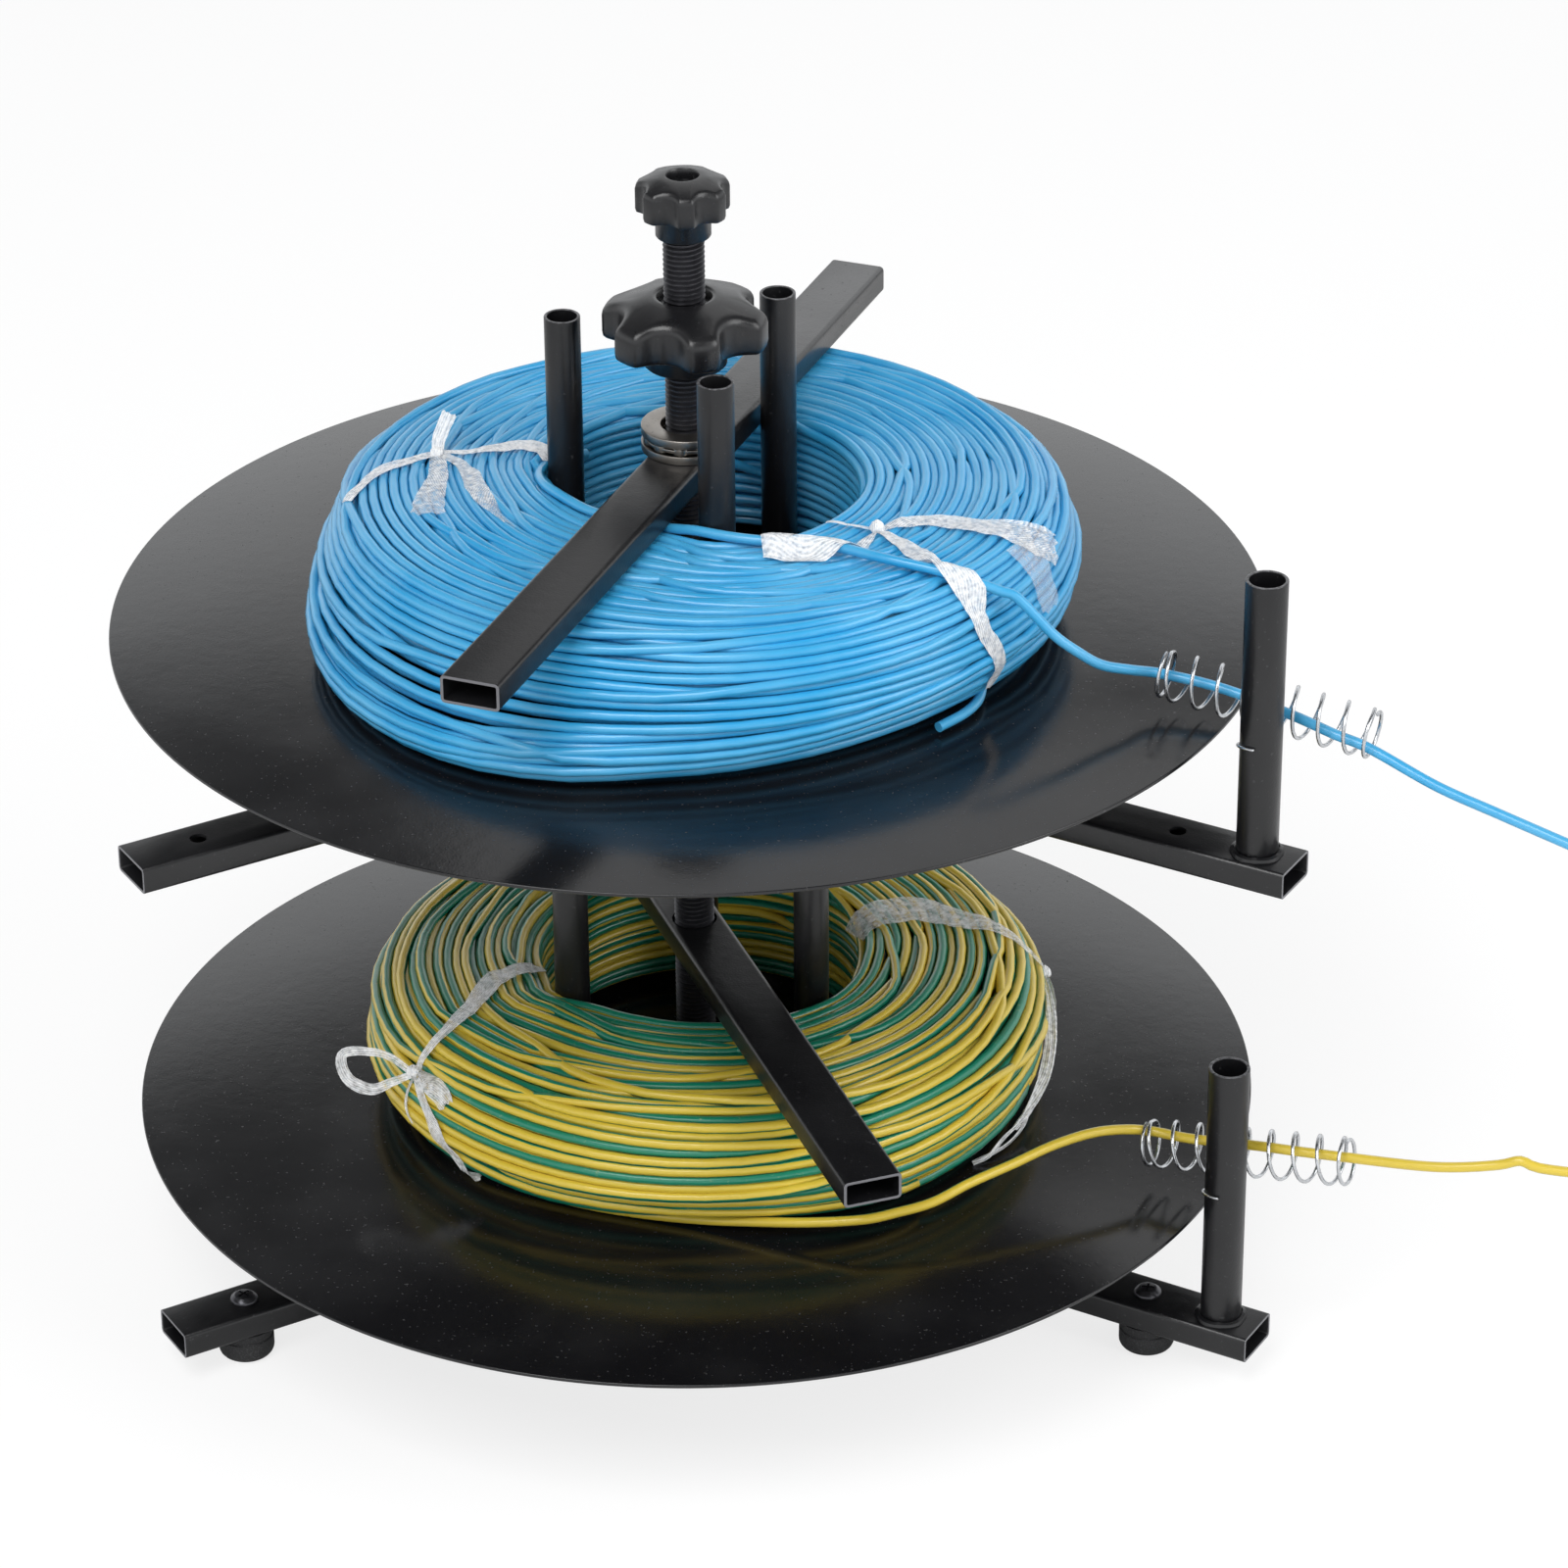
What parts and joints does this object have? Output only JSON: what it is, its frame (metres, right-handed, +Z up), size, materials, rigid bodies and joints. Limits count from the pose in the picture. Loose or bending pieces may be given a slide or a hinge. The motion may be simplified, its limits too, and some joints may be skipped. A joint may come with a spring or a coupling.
{
  "type": "wire pay-off stand",
  "caption": "Two-tier turntable stand that pays out electrical wire from coils, with press bars, star knobs on a threaded spindle and spring wire guides.",
  "frame": {"origin": "on the surface the stand rests on, on the axis of the spindle", "axes": "+Z up the spindle, +X to the right, towards the side where the wires leave, and +Y to the rear arm"},
  "size_m": [0.5698, 0.466, 0.4585],
  "materials": {
    "black_paint": "satin black paint",
    "foot_rubber": "matt moulded rubber",
    "zinc_steel": "bright zinc plate",
    "rod_steel": "blackened thread with bright crests",
    "bearing_steel": "ground bearing steel",
    "spring_steel": "bright drawn wire",
    "knob_plastic": "semi-gloss black moulding",
    "blue_pvc": "glossy insulation",
    "earth_pvc": "glossy insulation, yellow with a green stripe",
    "tie_tape": "split film tape, slightly clear"
  },
  "bodies": {
    "base": {"base_arm_left": "black_paint", "base_arm_rear": "black_paint", "base_arm_guide": "black_paint", "base_hub": "black_paint", "foot_left": "foot_rubber", "foot_rear": "foot_rubber", "foot_guide": "foot_rubber", "foot_screws": "zinc_steel", "spindle": "rod_steel", "base_lock_nut": "zinc_steel", "lower_stack_nut": "zinc_steel", "lower_bearing_bottom_race": "bearing_steel", "upper_arm_left": "black_paint", "upper_arm_rear": "black_paint", "upper_arm_guide": "black_paint", "upper_hub": "black_paint", "upper_lock_nut": "zinc_steel", "upper_stack_nut": "zinc_steel", "upper_bearing_bottom_race": "bearing_steel", "lower_guide_post": "black_paint", "lower_guide_spring": "spring_steel", "lower_tie_wire": "spring_steel", "yellow_payoff_wire": "earth_pvc", "upper_guide_post": "black_paint", "upper_guide_spring": "spring_steel", "upper_tie_wire": "spring_steel", "blue_payoff_wire": "blue_pvc"},
    "lower_cage": {"lower_bearing_cage": "bearing_steel"},
    "lower_turntable": {"lower_bearing_top_race": "bearing_steel", "lower_disc_hub": "black_paint", "lower_disc": "black_paint", "lower_core_post_a": "black_paint", "lower_core_post_b": "black_paint", "lower_core_post_c": "black_paint", "lower_coil_core": "earth_pvc", "lower_coil_winding": "earth_pvc", "lower_tie_left": "tie_tape", "lower_tie_right": "tie_tape"},
    "upper_cage": {"upper_bearing_cage": "bearing_steel"},
    "upper_turntable": {"upper_bearing_top_race": "bearing_steel", "upper_disc_hub": "black_paint", "upper_disc": "black_paint", "upper_core_post_a": "black_paint", "upper_core_post_b": "black_paint", "upper_core_post_c": "black_paint", "upper_coil_core": "blue_pvc", "upper_coil_winding": "blue_pvc", "upper_tie_left": "tie_tape", "upper_tie_right": "tie_tape"},
    "lower_bar": {"lower_press_bar": "black_paint"},
    "upper_bar": {"upper_press_bar": "black_paint", "clamp_bearing_bottom_race": "bearing_steel"},
    "clamp_cage": {"clamp_bearing_cage": "bearing_steel"},
    "clamp_top": {"clamp_bearing_top_race": "bearing_steel"},
    "lower_insert": {"lower_knob_insert": "zinc_steel"},
    "lower_knob": {"lower_star_knob": "knob_plastic"},
    "upper_insert": {"upper_knob_insert": "zinc_steel"},
    "upper_knob": {"upper_star_knob": "knob_plastic"},
    "top_insert": {"top_knob_insert": "zinc_steel"},
    "small_knob": {"top_knob": "knob_plastic"}
  },
  "joints": [
    {"name": "lower_turntable_spin", "type": "hinge", "parent": "base", "child": "lower_turntable", "pos_m": [0, 0, 0.05], "axis": [0, 0, 1], "continuous": true},
    {"name": "lower_cage_roll", "type": "hinge", "parent": "base", "child": "lower_cage", "pos_m": [0, 0, 0.044], "axis": [0, 0, 1], "continuous": true},
    {"name": "upper_turntable_spin", "type": "hinge", "parent": "base", "child": "upper_turntable", "pos_m": [0, 0, 0.26], "axis": [0, 0, 1], "continuous": true},
    {"name": "upper_cage_roll", "type": "hinge", "parent": "base", "child": "upper_cage", "pos_m": [0, 0, 0.255], "axis": [0, 0, 1], "continuous": true},
    {"name": "lower_bar_lift", "type": "slide", "parent": "lower_turntable", "child": "lower_bar", "axis": [0, 0, 1], "range_m": [0, 0.03]},
    {"name": "upper_bar_lift", "type": "slide", "parent": "upper_turntable", "child": "upper_bar", "axis": [0, 0, 1], "range_m": [0, 0.024]},
    {"name": "clamp_cage_roll", "type": "hinge", "parent": "upper_bar", "child": "clamp_cage", "pos_m": [0, 0, 0.352], "axis": [0, 0, 1], "continuous": true},
    {"name": "clamp_race_turn", "type": "hinge", "parent": "upper_bar", "child": "clamp_top", "pos_m": [0, 0, 0.355], "axis": [0, 0, 1], "continuous": true},
    {"name": "lower_knob_travel", "type": "slide", "parent": "base", "child": "lower_insert", "axis": [0, 0, 1], "range_m": [-0.03, 0.012]},
    {"name": "lower_knob_turn", "type": "hinge", "parent": "lower_insert", "child": "lower_knob", "pos_m": [0, 0, 0.183], "axis": [0, 0, 1], "range_deg": [-5418, 2178]},
    {"name": "upper_knob_travel", "type": "slide", "parent": "base", "child": "upper_insert", "axis": [0, 0, 1], "range_m": [-0.0245, 0.018]},
    {"name": "upper_knob_turn", "type": "hinge", "parent": "upper_insert", "child": "upper_knob", "pos_m": [0, 0, 0.396], "axis": [0, 0, 1], "range_deg": [-4428, 3258]},
    {"name": "top_knob_travel", "type": "slide", "parent": "base", "child": "top_insert", "axis": [0, 0, 1], "range_m": [0, 0.012]},
    {"name": "top_knob_turn", "type": "hinge", "parent": "top_insert", "child": "small_knob", "pos_m": [0, 0, 0.447], "axis": [0, 0, 1], "range_deg": [0, 2178]}
  ],
  "couplings": [
    {"joint": "lower_cage_roll", "follows": "lower_turntable_spin", "ratio": 0.5},
    {"joint": "upper_cage_roll", "follows": "upper_turntable_spin", "ratio": 0.5},
    {"joint": "clamp_cage_roll", "follows": "upper_turntable_spin", "ratio": -0.5},
    {"joint": "clamp_race_turn", "follows": "upper_turntable_spin", "ratio": -1},
    {"joint": "lower_knob_turn", "follows": "lower_knob_travel", "rad_per_m": 3141.6},
    {"joint": "upper_knob_turn", "follows": "upper_knob_travel", "rad_per_m": 3141.6},
    {"joint": "top_knob_turn", "follows": "top_knob_travel", "rad_per_m": 3141.6}
  ]
}
